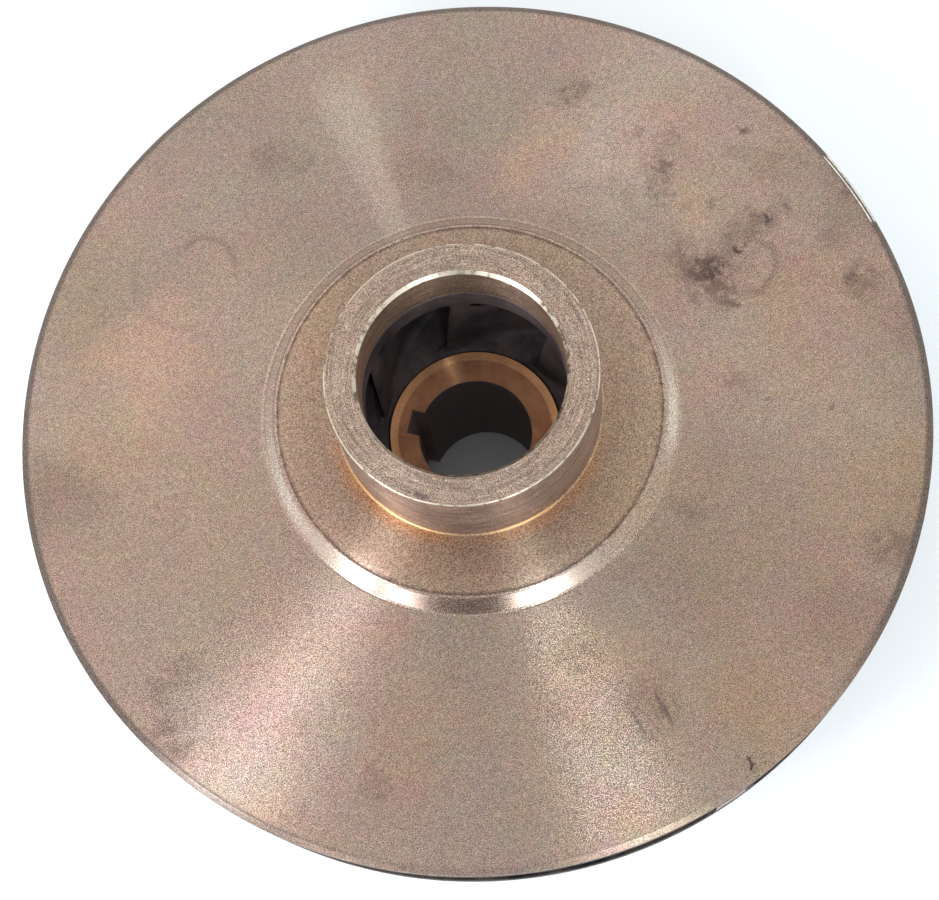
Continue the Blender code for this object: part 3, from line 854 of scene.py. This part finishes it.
def makeVane(number):
    size = vaneShape
    columns, rows = size["columns"], size["rows"]
    tip = frontSize["radius"] - size["tipGap"]
    # the outline's shares run from the tip in along one side and back out along the other
    shares = [1 - (i / columns) ** size["columnPower"] for i in range(columns)] + [0.0]
    loop = [(share, 1) for share in shares] + [(share, -1) for share in reversed(shares[:-1])]
    shape = bmesh.new()
    ring = [shape.verts.new((share, side, 0.0)) for share, side in loop]
    edges = [shape.edges.new((ring[i - 1], ring[i])) for i in range(len(ring))]
    layers = [ring]
    for row in range(rows):
        grown = bmesh.ops.extrude_edge_only(shape, edges=edges)["geom"]
        edges = [g for g in grown if isinstance(g, bmesh.types.BMEdge)
                 and all(v.co.z == row for v in g.verts) and not any(v in layers[-1] for v in g.verts)]
        raised = {v for e in edges for v in e.verts}
        bmesh.ops.translate(shape, verts=list(raised), vec=(0, 0, 1))
        layers.append(raised)
    turn = math.tau * (number - 1) / size["count"]
    for vert in shape.verts:
        share, side, row = vert.co
        level = row / rows
        nose = size["noseRadiusLow"] + (size["noseRadiusHigh"] - size["noseRadiusLow"]) * level
        radius = nose * (tip / nose) ** share
        thicker = (size["tipThickness"] - size["noseThickness"]) * min(1, 2 * share)
        thickness = size["noseThickness"] + thicker
        inNose = min(1.0, (radius - nose) / size["noseReach"])
        thickness *= math.sqrt(max(0.0, 1 - (1 - inNose) ** 2))
        floor, roof = floorHeight(radius) - size["sunk"], roofHeight(radius) + size["sunk"]
        eased = 0.5 - 0.5 * math.cos(math.pi * level)
        height = floor + (roof - floor) * (size["evenRows"] * level + (1 - size["evenRows"]) * eased)
        near = min(height - floor, roof - height)
        fillet = size["fillet"]
        flare = fillet - math.sqrt(max(0.0, fillet ** 2 - max(0.0, fillet - near) ** 2))
        ahead = vaneAzimuth(radius * (1 + slopeStep)) - vaneAzimuth(radius)
        slope = math.atan2(slopeStep, abs(ahead))
        half = thickness / 2 + flare * min(1.0, inNose * 1.5)
        azimuth = vaneAzimuth(radius) + turn + side * half / (radius * math.sin(slope))
        vert.co = (radius * math.cos(azimuth), radius * math.sin(azimuth), height)
    bmesh.ops.holes_fill(shape, edges=[e for e in shape.edges if e.is_boundary], sides=0)
    bmesh.ops.remove_doubles(shape, verts=shape.verts, dist=0.01 * mm)
    names = list(finishes)
    for face in shape.faces:
        atTip = all(v.co.xy.length > tip - 0.02 * mm for v in face.verts)
        face.material_index = names.index("collar" if atTip else "cast")
    return makePiece(f"vane{number}", shape, 40)


pieces = {
    "front_shroud": (makeFrontDisc(), "turned_bronze"),
    "eye_ring": (makeEyeCollar(), "collar_bronze"),
    "back_shroud": (makeBackDisc(), "turned_bronze"),
    "shaft_hub": (makeShaftHub(), "hub_bronze"),
}
for number in range(1, vaneShape["count"] + 1):
    pieces[f"vane_{number}"] = (makeVane(number), "cast_bronze")
for node, (piece, slot) in pieces.items():
    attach(piece, "root")
    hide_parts(node)
print("pieces made:", len(pieces))


# Floor, light and camera

def makeFloor():
    shape = bmesh.new()
    bmesh.ops.create_grid(shape, x_segments=1, y_segments=1, size=studio["floorSize"])
    mesh = bpy.data.meshes.new("floor")
    shape.to_mesh(mesh)
    shape.free()
    material, tree = newMaterial("paleFloor")[:2]
    shader = addNode(tree, "BsdfDiffuse", {"Color": studio["floorColour"]})
    addNode(tree, "OutputMaterial", {"Surface": shader})
    mesh.materials.append(material)
    floor = bpy.data.objects.new("floor", mesh)
    bpy.context.scene.collection.objects.link(floor)


studio = {
    "floorSize": 3.0, "floorColour": "fbfcfd", "roomColour": "f4fafc", "roomStrength": 1.2,
    # the room is darker round the place from which the photo looks, and low down between the two strips
    "shades": [
        {"azimuth": 270, "elevation": 74, "inner": 10, "outer": 34, "share": 0.4},
        {"azimuth": 256, "elevation": 21, "inner": 5, "outer": 24, "share": 0.7},
    ],
    "lamps": [
        {"name": "stripLeft", "azimuth": 211, "elevation": 29, "distance": 0.55, "size": (0.11, 0.36),
         "radiance": 14.5, "colour": "eef6ff"},
        {"name": "stripNear", "azimuth": 281.5, "elevation": 44, "distance": 0.9, "size": (0.035, 0.8),
         "radiance": 19.5, "colour": "dcf4ff"},
        {"name": "windowFar", "azimuth": 132, "elevation": 45, "distance": 2.0, "size": (1.0, 1.0),
         "radiance": 0.5, "colour": "fff0dc"},
        {"name": "softBoxLeft", "azimuth": 230, "elevation": 11, "distance": 1.0, "size": (0.22, 0.22),
         "radiance": 4.5, "colour": "f4f8ff"},
        {"name": "softBoxRight", "azimuth": 280, "elevation": 11, "distance": 1.0, "size": (0.36, 0.22),
         "radiance": 6.0, "colour": "f4f8ff"},
    ],
}


def directionOf(azimuth, elevation):
    azimuth, elevation = math.radians(azimuth), math.radians(elevation)
    return Vector((math.cos(elevation) * math.cos(azimuth), math.cos(elevation) * math.sin(azimuth),
                   math.sin(elevation)))


def makeRoom():
    world = bpy.data.worlds.new("room")
    bpy.context.scene.world = world
    world.use_nodes = True
    tree = world.node_tree
    ray = addNode(tree, "TexCoord", output="Generated")
    strength = studio["roomStrength"]
    for shade in studio["shades"]:
        middle = directionOf(shade["azimuth"], shade["elevation"])
        towards = addNode(tree, "VectorMath", (ray, middle), 1, operation="DOT_PRODUCT")
        inner, outer = (math.cos(math.radians(shade[name])) for name in ("inner", "outer"))
        darker = addNode(tree, "MapRange", (towards, outer, inner, 0.0, shade["share"]))
        kept = addNode(tree, "Math", (1.0, darker), operation="SUBTRACT")
        strength = addNode(tree, "Math", (strength, kept))
    background = tree.nodes["Background"]
    background.inputs["Color"].default_value = hexColour(studio["roomColour"])
    tree.links.new(strength, background.inputs["Strength"])


def makeLamps():
    target = Vector((0, 0, frontSize["top"]))
    for lamp in studio["lamps"]:
        light = bpy.data.lights.new(lamp["name"], "AREA")
        light.shape = "RECTANGLE"
        width, height = lamp["size"]
        light.size, light.size_y = width, height
        light.energy = math.pi * lamp["radiance"] * width * height
        light.color = hexColour(lamp["colour"])[:3]
        thing = bpy.data.objects.new(lamp["name"], light)
        away = directionOf(lamp["azimuth"], lamp["elevation"])
        thing.location = target + away * lamp["distance"]
        thing.rotation_euler = away.to_track_quat("Z", "Y").to_euler()
        bpy.context.scene.collection.objects.link(thing)


# Fitted to the photo's circles: elevation, distance over the disc's radius, and the aim's small turns
cameraFit = {"elevation": 71.23, "distance": 4.264, "pan": 0.28, "tilt": -1.10, "roll": -13.28,
             "focalPx": 1943.0, "imageWidth": 939, "sensor": 36.0, "planeHeight": 62.5 * mm}


def makeCamera():
    fit = cameraFit
    data = bpy.data.cameras.new("camera")
    data.sensor_width = fit["sensor"]
    data.lens = fit["focalPx"] * fit["sensor"] / fit["imageWidth"]
    data.clip_start = 0.01
    camera = bpy.data.objects.new("camera", data)
    elevation = math.radians(fit["elevation"])
    distance = fit["distance"] * frontSize["radius"]
    away, up = distance * math.cos(elevation), distance * math.sin(elevation)
    place = Vector((0, -away, up + fit["planeHeight"]))
    turn = Matrix.Rotation(math.pi / 2 - elevation, 4, "X")
    for angle, axis in ((fit["pan"], "Y"), (fit["tilt"], "X"), (fit["roll"], "Z")):
        turn = turn @ Matrix.Rotation(math.radians(angle), 4, axis)
    camera.matrix_world = Matrix.Translation(place) @ turn
    bpy.context.scene.collection.objects.link(camera)
    bpy.context.scene.camera = camera


makeFloor()
makeRoom()
makeLamps()
makeCamera()
bpy.context.scene.view_settings.view_transform = "Standard"
print("stage set")
